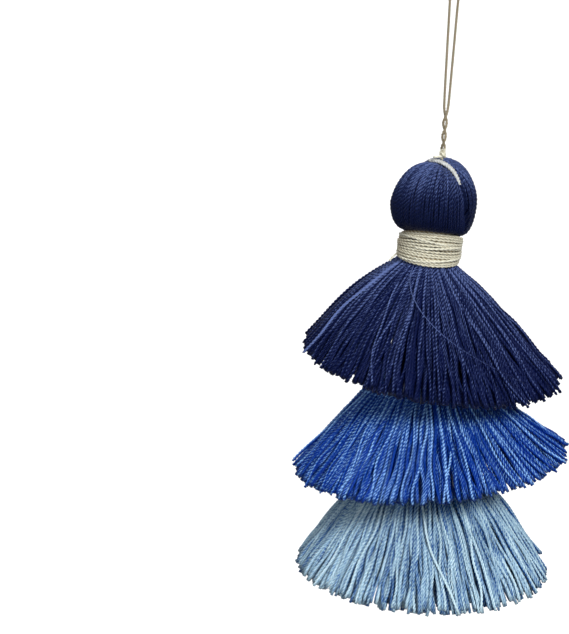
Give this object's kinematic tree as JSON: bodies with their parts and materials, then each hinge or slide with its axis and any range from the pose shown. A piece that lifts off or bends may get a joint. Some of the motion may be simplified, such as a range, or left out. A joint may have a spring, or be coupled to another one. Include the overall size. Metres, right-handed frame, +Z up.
{
  "type": "three-tier yarn tassel",
  "caption": "Hanging yarn tassel: a bound navy head on a twisted cord loop, above flared skirts of navy, royal blue and sky blue yarn.",
  "frame": {"origin": "underside of the hanging loop's top, where the tassel hangs on its hook", "axes": "+Z up along the hanging cord; -Y faces the viewer; +X to the viewer's right"},
  "size_m": [0.0495, 0.0498, 0.1214],
  "materials": {
    "navy_yarn": "lustrous two-ply yarn",
    "royal_yarn": "lustrous two-ply yarn",
    "sky_yarn": "lustrous two-ply yarn",
    "cream_cord": "smooth twisted cord"
  },
  "bodies": {
    "root": {"upper_hank": "navy_yarn", "middle_hank": "royal_yarn", "bottom_hank": "sky_yarn", "neck_binding": "cream_cord", "groove_tie": "cream_cord", "loop_knot": "cream_cord", "hanging_loop": "cream_cord"}
  },
  "joints": []
}
